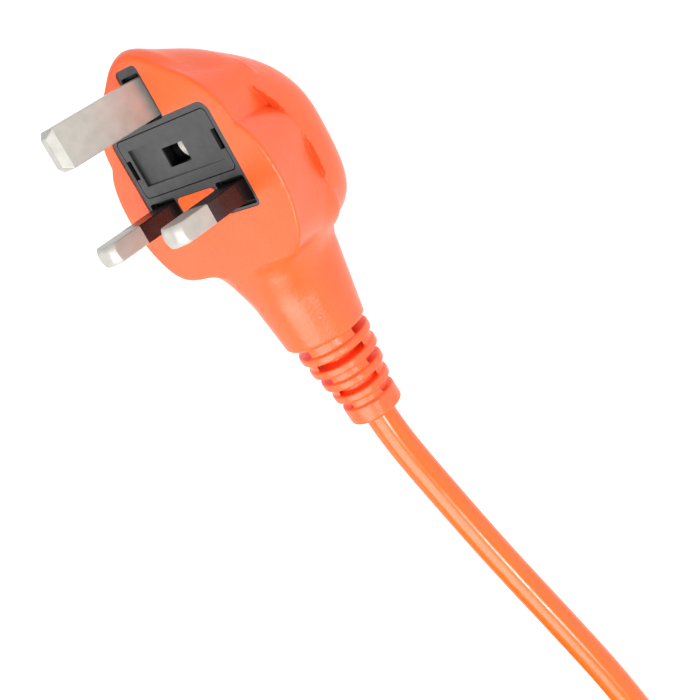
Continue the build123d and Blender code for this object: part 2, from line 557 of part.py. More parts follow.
def cord_sleeve():
    """Rubber sleeve in the socket's wall, with a flange each side of it and a ribbed cone outside."""
    wall_out, wall_in = -S_LONG / 2, -S_LONG / 2 + S_WALL
    sleeve = rod_y(5.2, wall_out - 1, wall_in + 1, 0, SOCKET_AXIS)
    sleeve += rod_y(6.6, wall_in + 0.05, wall_in + 1.6, 0, SOCKET_AXIS)
    sleeve += rod_y(7.2, wall_out - 3.0, wall_out - 0.05, 0, SOCKET_AXIS)
    cone = Pos(0, wall_out - 3.0 - (SLEEVE_LENGTH - 3.0) / 2, SOCKET_AXIS) * Rot(90, 0, 0)
    sleeve += cone * Cone(6.6, 4.5, SLEEVE_LENGTH - 3.0)
    for groove in range(4):
        y = wall_out - 6.0 - 3.8 * groove
        ring = rod_y(9, y - 1.5, y, 0, SOCKET_AXIS) - rod_y(4.4, y - 2, y + 1, 0, SOCKET_AXIS)
        gap = block(-9, 9, y - 1.5, y, SOCKET_AXIS - 2.2, SOCKET_AXIS + 2.2)
        sleeve -= ring & (Pos(0, 0, SOCKET_AXIS) * Rot(0, 90 * (groove % 2), 0) * Pos(0, 0, -SOCKET_AXIS) * gap)
    return sleeve - rod_y(CORD_RADIUS, wall_out - 40, wall_in + 5, 0, SOCKET_AXIS)


# ---------------------------------------------------------------- build and write
def build_plug():
    pins = {"earth_pin": earth_pin(), "neutral_pin": neutral_pin(), "line_pin": live_pin(-PIN_SPREAD)}
    sleeves = {"neutral_pin_sleeve": pin_sleeve(PIN_SPREAD), "line_pin_sleeve": pin_sleeve(-PIN_SPREAD)}
    clips = {"fuse_clip_line": line_clip(), "fuse_clip_supply": supply_clip()}
    cores = {"plug_core_" + name: core(name) + core_end(name) for name in CRIMPS}
    crimps = [crimp(name) for name in CRIMPS]
    metal = [*pins.values(), *sleeves.values(), *clips.values()]
    cord_end = Pos(0, -LN_Y, -BODY_DEPTH) * tube(LEAD_ROUTE[:6], CORD_RADIUS)
    behind = [*crimps, *cores.values(), pins["earth_pin"], pins["neutral_pin"], clips["fuse_clip_supply"], cord_end]
    crimp_bores = [rod_y(CRIMP[1], y - CRIMP[2], y, x, -TAIL_DEPTH) for x, y in CRIMPS.values()]
    nodes = {**pins, **sleeves, **clips, **cores}
    nodes["plug_crimps"] = Compound(children=crimps)
    nodes["fuse_barrel"] = fuse_barrel()
    nodes["fuse_caps"] = Compound(children=fuse_caps())
    nodes["fuse_carrier"] = fuse_carrier()
    nodes["pin_bridge"] = pin_bridge(metal)
    nodes["plug_body"] = plug_body(behind + crimp_bores)
    for name, shape in nodes.items():
        write(name, PLUG_AT * shape)


def build_cord():
    write("cord_lead", tube(LEAD_ROUTE, CORD_RADIUS, "lead"))
    write("cord_tail", tube(TAIL_ROUTE, CORD_RADIUS, "tail"))
    write("cord_coil", cord_coil())
    write("cord_tie", cord_tie())


def build_socket():
    place = Pos(*SOCKET_AT)
    live_top = SHUTTER_TOP - 4.2
    nodes = {
        "socket_cover": socket_cover(), "socket_base": socket_base(), "shutter": shutter(),
        "shutter_spring": shutter_spring(),
        "socket_contact_line": contact(PIN_SPREAD, S_PINS_Y, 6.4, 4.0, True, live_top, TERMINALS["brown"][1]),
        "socket_contact_neutral": contact(-PIN_SPREAD, S_PINS_Y, 6.4, 4.0, True, live_top, TERMINALS["blue"][1]),
        "socket_contact_earth": contact(0, S_PINS_Y + EARTH_Y, 7.0, 4.0, False, S_HIGH - S_FACE - 1.0,
                                        TERMINALS["green_yellow"][1]),
        "terminal_screws": Compound(children=[terminal_screw(x, y) for x, y in TERMINALS.values()]),
        "cord_clamp": cord_clamp(),
        "clamp_screws": Compound(children=[clamp_screw(x) for x in (-8.0, 8.0)]),
        "cover_screws": Compound(children=[cover_screw(x) for x in (-SCREW_X, SCREW_X)]),
        "cord_sleeve": cord_sleeve(),
    }
    for name in TERMINALS:
        nodes["socket_core_" + name] = socket_core(name) + wire_end(name)
    for name, shape in nodes.items():
        write(name, place * shape)


build_plug()
build_cord()
build_socket()
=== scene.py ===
"""Extension lead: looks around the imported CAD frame. Lengths are in mm, and MM makes them metres."""

import json
from math import cos, pi, radians, sin, sqrt

import bmesh
import bpy
import numpy as np
from mathutils import Matrix, Vector


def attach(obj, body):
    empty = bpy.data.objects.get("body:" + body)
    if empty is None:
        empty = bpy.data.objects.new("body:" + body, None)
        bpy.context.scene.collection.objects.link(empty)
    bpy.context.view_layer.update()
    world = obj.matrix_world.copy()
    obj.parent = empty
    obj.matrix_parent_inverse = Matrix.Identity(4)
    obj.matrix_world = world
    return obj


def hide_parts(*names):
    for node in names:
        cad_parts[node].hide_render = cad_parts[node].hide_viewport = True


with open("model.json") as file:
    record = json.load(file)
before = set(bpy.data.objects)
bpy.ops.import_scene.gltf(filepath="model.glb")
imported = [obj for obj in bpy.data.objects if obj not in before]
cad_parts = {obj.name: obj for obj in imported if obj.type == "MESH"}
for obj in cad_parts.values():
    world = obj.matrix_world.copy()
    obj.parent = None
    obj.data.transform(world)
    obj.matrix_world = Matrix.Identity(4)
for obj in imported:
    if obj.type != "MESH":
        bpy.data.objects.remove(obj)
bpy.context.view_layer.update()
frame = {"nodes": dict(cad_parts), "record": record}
nodes = frame["nodes"]
MM = 0.001

# ---------------------------------------------------------------- measures shared with the CAD
LN_Y = 13.0                   # line and neutral pins in front of the origin
BODY_DEPTH = 25.0             # engagement face above the surface the plug lies on
NECK_DEPTH = 12.3
NECK_END, RELIEF_END = -36.5, -57.0
RELIEF_TILT = 4.0             # degrees by which the strain relief hangs
SHEATH_START = -34.0          # end of the cord's sheath inside the neck
CORD_RADIUS = 3.4

# ---------------------------------------------------------------- camera
CAMERA_AT = (192.39, 47.95, 166.45)     # mm
CAMERA_HEADING, CAMERA_TILT, CAMERA_ROLL = -157.903, 36.987, 132.597    # degrees
CAMERA_LENS, CAMERA_SENSOR = 63.884, 36.0     # mm


def add_camera():
    heading, tilt = radians(CAMERA_HEADING), radians(CAMERA_TILT)
    forward = Vector((cos(heading) * cos(tilt), sin(heading) * cos(tilt), -sin(tilt)))
    level = forward.to_track_quat("-Z", "Y").to_matrix()
    turn = level @ Matrix.Rotation(-radians(CAMERA_ROLL), 3, "Z")
    camera = bpy.data.objects.new("camera", bpy.data.cameras.new("camera"))
    camera.matrix_world = Matrix.Translation(Vector(CAMERA_AT) * MM) @ turn.to_4x4()
    camera.data.lens = CAMERA_LENS
    camera.data.sensor_width = CAMERA_SENSOR
    camera.data.clip_start = 0.01
    bpy.context.scene.collection.objects.link(camera)
    bpy.context.scene.camera = camera


# ---------------------------------------------------------------- small helpers
def link(name, mesh):
    piece = bpy.data.objects.new(name, mesh)
    bpy.context.scene.collection.objects.link(piece)
    return piece


def finished_mesh(name, mesh):
    data = bpy.data.meshes.new(name)
    mesh.to_mesh(data)
    mesh.free()
    return data


def smooth(piece, angle):
    """Smooth shading, with edges sharper than an angle in degrees left sharp."""
    piece.data.shade_smooth()
    piece.data.set_sharp_from_angle(angle=radians(angle))
    return piece


# ---------------------------------------------------------------- cord, coil and strap
def relief_point(along):
    """Point of the strain relief's axis, at a distance from the neck's end."""
    tilt = radians(RELIEF_TILT)
    return (0.0, LN_Y + NECK_END - along * cos(tilt), BODY_DEPTH - NECK_DEPTH - along * sin(tilt))


LEAD_ROUTE = [(0.0, LN_Y + SHEATH_START, BODY_DEPTH - NECK_DEPTH), relief_point(4.0), relief_point(14.0),
              (0.6, -50.5, 11.2), (4.3, -64.6, 10.6), (9.6, -85.8, 9.0), (15.0, -106.3, 6.8),
              (19.8, -126.2, 4.7), (22.8, -146.4, 3.5), (24.0, -166.0, CORD_RADIUS),
              (24.05, -184.0, CORD_RADIUS)]
COIL_CENTRE = (-24.6, -200.0)
TURN_PITCH = 6.9
LAYERS, LAYER_TURNS, RAMP_TURNS = 6, 2.75, 0.5
COIL_OUTER = 48.6
COIL_INNER = COIL_OUTER - LAYER_TURNS * TURN_PITCH
COIL_HEIGHT = LAYERS * 2 * CORD_RADIUS
TURNS = LAYERS * LAYER_TURNS + (LAYERS - 1) * RAMP_TURNS
POINTS_PER_TURN = 16
TIE_ANGLE, TIE_WIDTH, TIE_THICK = -45.0, 16.0, 1.6
TIE_PINCH = 34.0              # degrees each side of the strap over which the turns are gathered
TIE_GAP_IN, TIE_GAP_OUT = 0.8, 0.2      # between the strap and the coil's inner and outer turns
TIE_CORNER, TIE_CORNER_STEPS = 3.0, 8
TIE_STEP = 3.0                # spacing of the points along the strap's flat stretches
TIE_EDGE = 0.35               # rounding of the band's edges
FREE_END_TOP, FREE_END_LOW = 12.0, 9.0  # how far in over the coil, and how low, the free end reaches
TAIL_TURN = [(48.7, -6.0, 37.4), (50.6, -30.3, 41.0), (36.1, -50.3, 45.5), (12.6, -58.0, 49.8),
             (-10.9, -50.3, 53.0), (-25.4, -30.3, 54.6), (-25.42, -5.0, 54.8), (-25.4, 19.0, 54.8)]
TAIL_ROUTE = [(COIL_CENTRE[0] + x, COIL_CENTRE[1] + y, z) for x, y, z in TAIL_TURN]


def coil_place(turn):
    """Radius and height of the wound cord after a number of turns."""
    span = LAYER_TURNS + RAMP_TURNS
    layer = min(int(turn / span), LAYERS - 1)
    inward = layer % 2 == 0
    along = min((turn - layer * span) / LAYER_TURNS, 1.0)
    ramp = min(max((turn - layer * span - LAYER_TURNS) / RAMP_TURNS, 0.0), 1.0)
    start, end = (COIL_OUTER, COIL_INNER) if inward else (COIL_INNER, COIL_OUTER)
    level = CORD_RADIUS + 2 * CORD_RADIUS * (layer + (ramp if layer < LAYERS - 1 else 0))
    return start + (end - start) * along, level


def coil_points():
    """Turns wound clockwise, inward and outward by layers, and gathered where the strap goes round them."""
    count = round(TURNS * POINTS_PER_TURN)
    outward = 1 / cos(pi / POINTS_PER_TURN)
    gathered = 1 - TIE_THICK / (COIL_HEIGHT - 2 * CORD_RADIUS)
    points = []
    for step in range(count + 1):
        turn = TURNS * step / count
        radius, level = coil_place(turn)
        angle = -360.0 * turn
        off_strap = (angle - TIE_ANGLE + 180) % 360 - 180
        near = max(0.0, 1 - (off_strap / TIE_PINCH) ** 2) ** 2
        level += (CORD_RADIUS + TIE_THICK + (level - CORD_RADIUS) * gathered - level) * near
        points.append((COIL_CENTRE[0] + radius * outward * cos(radians(angle)),
                       COIL_CENTRE[1] + radius * outward * sin(radians(angle)), level))
    return points


def add_cord():
    """The whole cord: one curve from inside the plug's neck, through the coil, to the socket's clamp."""
    points = LEAD_ROUTE + coil_points() + TAIL_ROUTE
    curve = bpy.data.curves.new("cord", "CURVE")
    curve.dimensions = "3D"
    curve.bevel_depth = CORD_RADIUS * MM
    curve.bevel_resolution = 10
    curve.resolution_u = 5
    spline = curve.splines.new("NURBS")
    spline.points.add(len(points) - 1)
    for point, place in zip(spline.points, points):
        point.co = (*(value * MM for value in place), 1.0)
    spline.order_u = 3
    spline.use_endpoint_u = True
    curve.use_fill_caps = True
    return link("cord", curve)


def tie_loop():
    """Strap's centre line round the coil's section, as (distance from the coil's centre, height)."""
    inner = COIL_INNER - CORD_RADIUS - TIE_GAP_IN - TIE_THICK / 2
    outer = COIL_OUTER + CORD_RADIUS + TIE_GAP_OUT + TIE_THICK / 2
    low, high = TIE_THICK / 2, COIL_HEIGHT + TIE_THICK / 2
    loop = []
    for across, level, start in ((outer, low, -90), (outer, high, 0), (inner, high, 90), (inner, low, 180)):
        centre_x = across - TIE_CORNER if across == outer else across + TIE_CORNER
        centre_z = level + TIE_CORNER if level == low else level - TIE_CORNER
        for step in range(TIE_CORNER_STEPS + 1):
            angle = radians(start + 90 * step / TIE_CORNER_STEPS)
            loop.append((centre_x + TIE_CORNER * cos(angle), centre_z + TIE_CORNER * sin(angle)))
    return loop


def evenly_filled(loop):
    """The loop with points added along its flat stretches."""
    filled = []
    for first, second in zip(loop, loop[1:] + loop[:1]):
        dx, dz = second[0] - first[0], second[1] - first[1]
        parts = max(1, int(sqrt(dx ** 2 + dz ** 2) / TIE_STEP))
        filled += [(first[0] + dx * k / parts, first[1] + dz * k / parts) for k in range(parts)]
    return filled


def band_section(steps=16):
    """Section of the woven band, flat with rounded edges, as (across, rise)."""
    flat = TIE_WIDTH / 2 - TIE_EDGE
    section = []
    for step in range(steps):
        angle = 2 * pi * step / steps
        across = max(-1.0, min(1.0, 1.35 * cos(angle))) * flat + TIE_EDGE * cos(angle)
        section.append((across, 0.46 * TIE_THICK * max(-1.0, min(1.0, 1.5 * sin(angle)))))
    return section


def sweep_band(mesh, line, closed, lift=0.0, narrow=1.0):
    """Adds the band along a line; lift moves it outward and narrow scales its width."""
    section = band_section()
    rings = []
    for index, (reach, level) in enumerate(line):
        before = line[index - 1] if closed or index else line[index]
        after = line[(index + 1) % len(line)] if closed or index < len(line) - 1 else line[index]
        along = Vector((after[0] - before[0], 0, after[1] - before[1])).normalized()
        out = Vector((along.z, 0, -along.x))
        middle = Vector((reach, 0, level)) + out * lift
        rings.append([mesh.verts.new(middle + out * rise + Vector((0, side * narrow, 0)))
                      for side, rise in section])
    pairs = list(zip(rings, rings[1:])) + ([(rings[-1], rings[0])] if closed else [])
    for first, second in pairs:
        for i in range(len(section)):
            j = (i + 1) % len(section)
            mesh.faces.new((first[i], first[j], second[j], second[i]))
    if not closed:
        mesh.faces.new(rings[0])
        mesh.faces.new(list(reversed(rings[-1])))


def add_tie():
    """Hook-and-loop strap: a woven band, with its free end laid over it on the outside."""
    mesh = bmesh.new()
    loop = evenly_filled(tie_loop())
    sweep_band(mesh, loop, closed=True)
    free_end = [p for p in loop if p[0] > COIL_OUTER - FREE_END_TOP and p[1] > FREE_END_LOW]
    sweep_band(mesh, free_end, closed=False, lift=TIE_THICK * 0.95, narrow=0.94)
    bmesh.ops.recalc_face_normals(mesh, faces=mesh.faces)
    place = Matrix.Translation(Vector((*COIL_CENTRE, 0)) * MM) @ Matrix.Rotation(radians(TIE_ANGLE), 4, "Z")
    mesh.transform(place @ Matrix.Scale(MM, 4))
    return smooth(link("cord_strap", finished_mesh("cord_strap", mesh)), 50)


# ---------------------------------------------------------------- surfaces from formulas
def smooth_min(a, b, radius):
    """Union of two shapes with a fillet; smooth_max is their rounded intersection."""
    blend = np.clip(0.5 + 0.5 * (b - a) / radius, 0, 1)
    return b + (a - b) * blend - radius * blend * (1 - blend)


def smooth_max(a, b, radius):
    return -smooth_min(-a, -b, radius)


def ease(value, low, high):
    """0 below low, 1 above high, and a smooth step between."""
    t = np.clip((value - low) / (high - low), 0, 1)
    return t * t * (3 - 2 * t)


def gradient(shape, points, step=0.02):
    """Slope of a shape's formula at each point."""
    slopes = []
    for axis in range(3):
        offset = np.zeros(3)
        offset[axis] = step
        slopes.append((shape(*(points + offset).T) - shape(*(points - offset).T)) / (2 * step))
    return np.stack(slopes, 1)


def drawn_on(shape, points, reach):
    """Points moved onto the surface by a few Newton steps, each held to about reach."""
    for _ in range(3):
        slope = gradient(shape, points)
        size = np.maximum((slope ** 2).sum(1), 0.05)
        points = points - np.clip(shape(*points.T) / size, -reach, reach)[:, None] * slope
    return points


def placed(points, offset, tilt):
    """Points turned about X and moved, from a formula's own frame to the row frame, in mm."""
    c, s = cos(radians(tilt)), sin(radians(tilt))
    turn = np.array([[1, 0, 0], [0, c, -s], [0, s, c]])
    return points @ turn.T + np.array(offset)


def crossed_edges(value, axis):
    """Grid edges along an axis that the surface crosses: starts, crossings, and whose face is turned."""
    near = tuple(slice(0, -1) if a == axis else slice(None) for a in range(3))
    far = tuple(slice(1, None) if a == axis else slice(None) for a in range(3))
    starts = np.argwhere((value[near] < 0) != (value[far] < 0))
    step = np.eye(3, dtype=int)[axis]
    v0, v1 = value[tuple(starts.T)], value[tuple((starts + step).T)]
    return starts, starts + step * (v0 / (v0 - v1))[:, None], (v0 >= 0) ^ (axis == 1)


def surface_mesh(name, shape, low, high, cell, offset, tilt=0.0):
    """Closed mesh of shape(x, y, z) = 0, negative inside, by surface nets.

    Each grid cell that the surface crosses gets a point, the mean of the crossings on its edges. Each
    crossed edge gets a face between the four cells round it. The points are then drawn onto the surface.
    """
    axes = [np.arange(a, b + cell, cell) for a, b in zip(low, high)]
    value = shape(*np.meshgrid(*axes, indexing="ij"))
    cells = tuple(n - 1 for n in value.shape)
    total, count = np.zeros(cells + (3,)), np.zeros(cells)
    rings = []
    for axis in range(3):
        starts, spots, turned = crossed_edges(value, axis)
        first, second = [a for a in range(3) if a != axis]
        ring = []
        for i, j in ((0, 0), (1, 0), (1, 1), (0, 1)):
            beside = starts.copy()
            beside[:, first] -= i
            beside[:, second] -= j
            ring.append(beside)
            flat = np.ravel_multi_index(beside.T, cells)
            np.add.at(count.reshape(-1), flat, 1)
            for a in range(3):
                np.add.at(total.reshape(-1, 3)[:, a], flat, spots[:, a])
        rings.append((ring, turned))
    used = count > 0
    number = np.full(cells, -1)
    number[used] = np.arange(used.sum())
    points = total[used] / count[used][:, None] * cell + np.array([a[0] for a in axes])
    quads = []
    for ring, turned in rings:
        quad = np.stack([number[tuple(corner.T)] for corner in ring], 1)
        quad[turned] = quad[turned][:, ::-1]
        quads.append(quad)
    return mesh_from_arrays(name, placed(drawn_on(shape, points, cell), offset, tilt), np.concatenate(quads))


def mesh_from_arrays(name, points, quads):
    """Mesh of four-sided faces, from points in mm."""
    mesh = bpy.data.meshes.new(name)
    mesh.vertices.add(len(points))
    mesh.vertices.foreach_set("co", (points * MM).astype(np.float32).ravel())
    mesh.loops.add(quads.size)
    mesh.loops.foreach_set("vertex_index", quads.astype(np.int32).ravel())
    mesh.polygons.add(len(quads))
    mesh.polygons.foreach_set("loop_start", np.arange(0, quads.size, 4, dtype=np.int32))
    mesh.update(calc_edges=True)
    mesh.validate()
    return mesh


# ---------------------------------------------------------------- plug: over-moulding
def mirrored(right):
    """Outline from its right half, whose first point lies on the centre line."""
    return right + [(-x, y) for x, y in right[:0:-1]]


# Upper and lower lobes of the face, and of the finger grips behind it
FACE_UPPER = mirrored([(0, 30.4), (8.4, 27.0), (15.8, 22.0), (19.4, 17.0), (20.5, 12.6), (20.4, 7.0),
                       (19.0, -3.0), (9.0, -9.0)])
FACE_LOWER = mirrored([(0, 15.0), (9.0, 15.0), (17.0, 13.8), (20.8, 12.0), (23.2, 8.6), (24.8, 1.0),
                       (23.2, -8.0), (18.8, -13.8), (11.0, -15.1)])
GRIP_UPPER = mirrored([(0, 23.2), (8.2, 22.4), (12.8, 21.4), (16.0, 19.7), (17.2, 17.2), (16.8, 14.8),
                       (16.2, 11.4), (14.4, 6.0), (8.5, -2.0)])
GRIP_LOWER = mirrored([(0, 11.4), (8.0, 11.5), (14.6, 11.2), (17.8, 9.5), (19.8, 5.8), (19.2, 1.5),
                       (18.7, -2.0), (19.0, -6.0), (18.9, -9.4), (16.8, -13.6), (10.6, -16.2)])
GRIP_DEPTH, FRONT_DEPTH = 15.0, 15.5    # grip outlines, and end of the front block, below the face
OUTLINE_CENTRE_Y = 2.0
OUTLINE_SAMPLES = 1440
FACE_EDGE = 0.7               # softness of the face's edge

DOME_CENTRE, DOME_HALF = 1.0, 20.5      # level of the dome's widest line, and half its width
DOME_UP, DOME_DROOP = 31.8, 0.57        # reach above the centre, and its loss with depth
DOME_DOWN = 18.2                        # reach below the centre
DOME_START, DOME_CLOSES, DOME_FLAT = 3.0, 7.0, 25.2   # depths where the dome starts, draws in and ends
RIM_RADIUS, RIM_PEAK, RIM_Y = 37.0, 14.3, -2.0        # cylinder that cuts the dome's front rim
CRISP_RIM, CRISP_SEAM = 0.3, 0.4        # rounding of the rim, and of its seam with the front, at the grips
CROWN, FOOT = (19.5, 24.0), (5.0, 13.0) # levels over which both grow soft, above and below the middle

# Neck's radius along Y
NECK_PROFILE = [(-12.0, 11.4), (-15.0, 11.4), (-18.0, 11.3), (-20.0, 11.1), (-24.0, 10.55), (-28.0, 10.05),
                (-32.0, 9.5), (-35.8, 9.0), (NECK_END, 8.4)]
NECK_START = -6.0
NECK_RISE = 0.5               # the neck's middle above the cord's axis


def spline_through(points, count=OUTLINE_SAMPLES):
    """Closed cubic spline through the points, sampled evenly in its own measure."""
    knots = np.array(points, float)
    chord = np.linalg.norm(np.roll(knots, -1, 0) - knots, axis=1)
    total = len(knots)
    system, right = np.zeros((total, total)), np.zeros((total, 2))
    slope = (np.roll(knots, -1, 0) - knots) / chord[:, None]
    for i in range(total):
        before, after = chord[i - 1], chord[i]
        system[i, i - 1] += after
        system[i, i] += 2 * (before + after)
        system[i, (i + 1) % total] += before
        right[i] = 3 * (after * slope[i - 1] + before * slope[i])
    tangent = np.linalg.solve(system, right)
    at = np.linspace(0, chord.sum(), count, endpoint=False)
    start = np.concatenate([[0], np.cumsum(chord)])
    span = np.searchsorted(start, at, side="right") - 1
    h = chord[span][:, None]
    t = ((at - start[span]) / chord[span])[:, None]
    after = (span + 1) % total
    return ((2 * t ** 3 - 3 * t ** 2 + 1) * knots[span] + (t ** 3 - 2 * t ** 2 + t) * h * tangent[span]
            + (3 * t ** 2 - 2 * t ** 3) * knots[after] + (t ** 3 - t ** 2) * h * tangent[after])


def reach_table(outline):
    """Distance from the outline's centre to its edge, by angle."""
    edge = spline_through(outline) - np.array([0, OUTLINE_CENTRE_Y])
    angle = np.arctan2(edge[:, 1], edge[:, 0])
    order = np.argsort(angle)
    return angle[order], np.hypot(edge[:, 0], edge[:, 1])[order]


LOBES = [(reach_table(face), reach_table(grip))
         for face, grip in ((FACE_UPPER, GRIP_UPPER), (FACE_LOWER, GRIP_LOWER))]


def front_block(x, y, z):
    """Face and finger grips: two lobes, each drawn in from the face's outline to the grip's with depth."""
    depth = -z
    angle = np.arctan2(y - OUTLINE_CENTRE_Y, x)
    share = np.clip(depth, -2, 20) / GRIP_DEPTH
    sides = []
    for face_reach, grip_reach in LOBES:
        face = np.interp(angle, *face_reach, period=2 * pi)
        grip = np.interp(angle, *grip_reach, period=2 * pi)
        sides.append((np.hypot(x, y - OUTLINE_CENTRE_Y) - face - (grip - face) * share) * 0.9)
    return smooth_max(smooth_min(*sides, 0.6), depth - FRONT_DEPTH, 1.0)


def dome_slice(x, y, depth):
    """Distance to the dome's egg-shaped section at a depth: squarer at the foot, rounder at the crown."""
    closing = (1 - np.clip((depth - DOME_CLOSES) / (DOME_FLAT - DOME_CLOSES), 0, 0.9999) ** 4) ** (1 / 4)
    half = DOME_HALF * closing
    up = (DOME_UP - DOME_DROOP * depth) * closing ** 0.5
    down = DOME_DOWN * closing ** 0.4
    rise = y - DOME_CENTRE
    power = 2.9 - 0.5 * ease(rise, -5, 16) - 0.6 * ease(rise, 10, 20) * (1 - ease(depth, 3, 11))
    reach = np.where(rise > 0, up, down)
    ratio = ((np.abs(x) / half) ** power + (np.abs(rise) / reach) ** power) ** (1 / power)
    return (ratio - 1) * np.hypot(x, rise) / np.maximum(ratio, 0.05)


def dome_side(x, y, depth):
    """Distance to the dome, with its slope along the depth allowed for."""
    side = dome_slice(x, y, depth)
    slope = (dome_slice(x, y, depth + 0.2) - dome_slice(x, y, depth - 0.2)) / 0.4
    return side / np.sqrt(1 + slope ** 2)


def shell(x, y, z):
    """Front block and egg-shaped back, which ends in front in a rim cut by a cylinder."""
    depth = -z
    side = dome_side(x, y, depth)
    crown, foot = ease(y, *CROWN), ease(-y, *FOOT)
    rim = RIM_RADIUS - np.hypot(y - RIM_Y, depth - RIM_PEAK + RIM_RADIUS)
    back = smooth_max(side, DOME_START - 1.8 * crown - depth, 2.5)
    back = smooth_max(back, rim, CRISP_RIM + 3.0 * crown + 3.0 * foot)
    within_dome = side - 8 * (1 - ease(depth, 8, 14)) - 5 * foot
    front = smooth_max(front_block(x, y, z), within_dome, 0.5 + 3 * crown)
    shallow = 1 - ease(depth, 10 + 4 * foot, 15 + 3 * foot)
    return smooth_min(front, back, CRISP_SEAM + (2.4 * crown + 3.0 * foot) * shallow)


def neck(x, y, z):
    """Round neck whose front becomes square towards the face."""
    up = z + NECK_DEPTH - NECK_RISE
    radius = np.interp(y, *np.array(NECK_PROFILE)[::-1].T)
    power = 2 + 0.9 * ease(y, -26, -15) * ease(up, -3, 5)
    across = (np.abs(x) ** power + np.abs(up) ** power + 1e-6) ** (1 / power)
    return np.maximum((across - radius) * 0.93, np.maximum(NECK_END - y, y - NECK_START))


def moulding(x, y, z):
    """Shell and neck, joined by a fillet that is widest half-way down, with a flat face and a flat back."""
    fillet = 3.5 + 2.5 * ease(z, -16.0, -8.0) - 3.0 * ease(z, -4.0, -0.5)
    whole = smooth_min(shell(x, y, z), neck(x, y, z), fillet)
    return smooth_max(smooth_max(whole, -z - BODY_DEPTH, 0.8), z, FACE_EDGE)


RING_RADII = (8.18, 7.76, 7.10, 6.52, 6.04)
RING_STARTS = (1.8, 5.4, 9.1, 12.7, 16.4)     # along the relief from the neck's end
RING_WIDTH, RING_EDGE = 1.9, 0.45
WEB_STEP, WEB_EDGE = 0.5, 0.3                 # webs below the rings' edges, and their rounding
WEB_OVERLAP = 0.6             # of a web into the rings it joins
WEB_FROM = 0.68               # distance from the middle where a web starts, as a share of its ring's radius
RELIEF_LENGTH = NECK_END - RELIEF_END
RELIEF_CORE, RELIEF_ROOT = 4.5, 2.0     # radius of the middle, and its length inside the neck


def rounded_disc(radius, start, end, edge, across, along):
    """Disc across an axis, with rounded edges."""
    side = across - (radius - edge)
    ends = np.abs(along - (start + end) / 2) - ((end - start) / 2 - edge)
    return np.hypot(np.maximum(side, 0), np.maximum(ends, 0)) + np.minimum(np.maximum(side, ends), 0) - edge


def relief(x, y, z):
    """Five rings joined by webs that alternate a quarter turn; the axis runs along -Y from the neck's end."""
    along, across = -y, np.hypot(x, z)
    whole = np.maximum(across - RELIEF_CORE, np.maximum(-RELIEF_ROOT - along, along - RELIEF_LENGTH + 0.4))
    slant = ((x - z) / sqrt(2), (x + z) / sqrt(2))
    previous = -1.0
    for number, (radius, start) in enumerate(zip(RING_RADII, RING_STARTS)):
        last = number == len(RING_RADII) - 1
        end = RELIEF_LENGTH if last else start + RING_WIDTH
        ring = rounded_disc(radius, start, end, RING_EDGE, across, along)
        web = rounded_disc(radius - WEB_STEP, previous, start + WEB_OVERLAP, WEB_EDGE, across, along)
        web = smooth_max(web, WEB_FROM * radius - np.abs(slant[1 - number % 2]), 0.5)
        whole = smooth_min(smooth_min(whole, ring, 0.5), web, 0.4)
        previous = end - WEB_OVERLAP
    return whole


# ---------------------------------------------------------------- plug: pocket for the black insert
BRIDGE_DEPTH, TONGUE_DEPTH = 11.2, 5.0
BRIDGE_HALF, BRIDGE_TOP, BRIDGE_LEDGE, BRIDGE_FOOT = 16.3, 18.0, 2.4, -3.6
TONGUE_HALF, TONGUE_TOP, TONGUE_ROOT = 3.45, 28.6, 10.0
EAR_INNER = 6.1
CORNER, SHOULDER = 1.1, 2.5   # rounding of the outline's corners and of its two upper ones
POCKET_TOP = 1.0              # the cutting blocks stand this far above the face


def rounded(points, radii, steps=6):
    """Closed outline with each corner rounded by its radius."""
    outline = []
    for index, (point, radius) in enumerate(zip(points, radii)):
        corner = Vector(point)
        before = (Vector(points[index - 1]) - corner).normalized()
        after = (Vector(points[(index + 1) % len(points)]) - corner).normalized()
        half = before.angle(after) / 2
        centre = corner + (before + after).normalized() * (radius / sin(half))
        first, last = corner + before * (radius / np.tan(half)), corner + after * (radius / np.tan(half))
        for step in range(steps + 1):
            spoke = (first - centre).lerp(last - centre, step / steps).normalized() * radius
            outline.append(tuple(centre + spoke))
    return outline


def bridge_outline():
    """Outline of the black insert: a wide block, a foot round each lower pin, a tongue at the earth pin."""
    right = [(TONGUE_HALF, TONGUE_TOP), (TONGUE_HALF, BRIDGE_TOP), (BRIDGE_HALF, BRIDGE_TOP),
             (BRIDGE_HALF, BRIDGE_FOOT), (EAR_INNER, BRIDGE_FOOT), (EAR_INNER, BRIDGE_LEDGE)]
    radii = [CORNER, CORNER, SHOULDER, CORNER, CORNER, CORNER]
    left = [(-x, y) for x, y in reversed(right)]
    return rounded(right + left, radii + radii[::-1])


def prism(name, outline, low, high):
    """Closed straight-sided solid over an outline in the plug's frame, in mm."""
    mesh = bmesh.new()
    rings = [[mesh.verts.new(Vector((x, y + LN_Y, level + BODY_DEPTH)) * MM) for x, y in outline]
             for level in (low, high)]
    for i in range(len(outline)):
        j = (i + 1) % len(outline)
        mesh.faces.new((rings[0][i], rings[0][j], rings[1][j], rings[1][i]))
    mesh.faces.new(rings[0][::-1])
    mesh.faces.new(rings[1])
    bmesh.ops.recalc_face_normals(mesh, faces=mesh.faces)
    return link(name, finished_mesh(name, mesh))


def cut(piece, tool):
    modifier = piece.modifiers.new("cut", "BOOLEAN")
    modifier.operation, modifier.object, modifier.solver = "DIFFERENCE", tool, "EXACT"
    with bpy.context.temp_override(object=piece, active_object=piece):
        bpy.ops.object.modifier_apply(modifier="cut")
    bpy.data.objects.remove(tool)


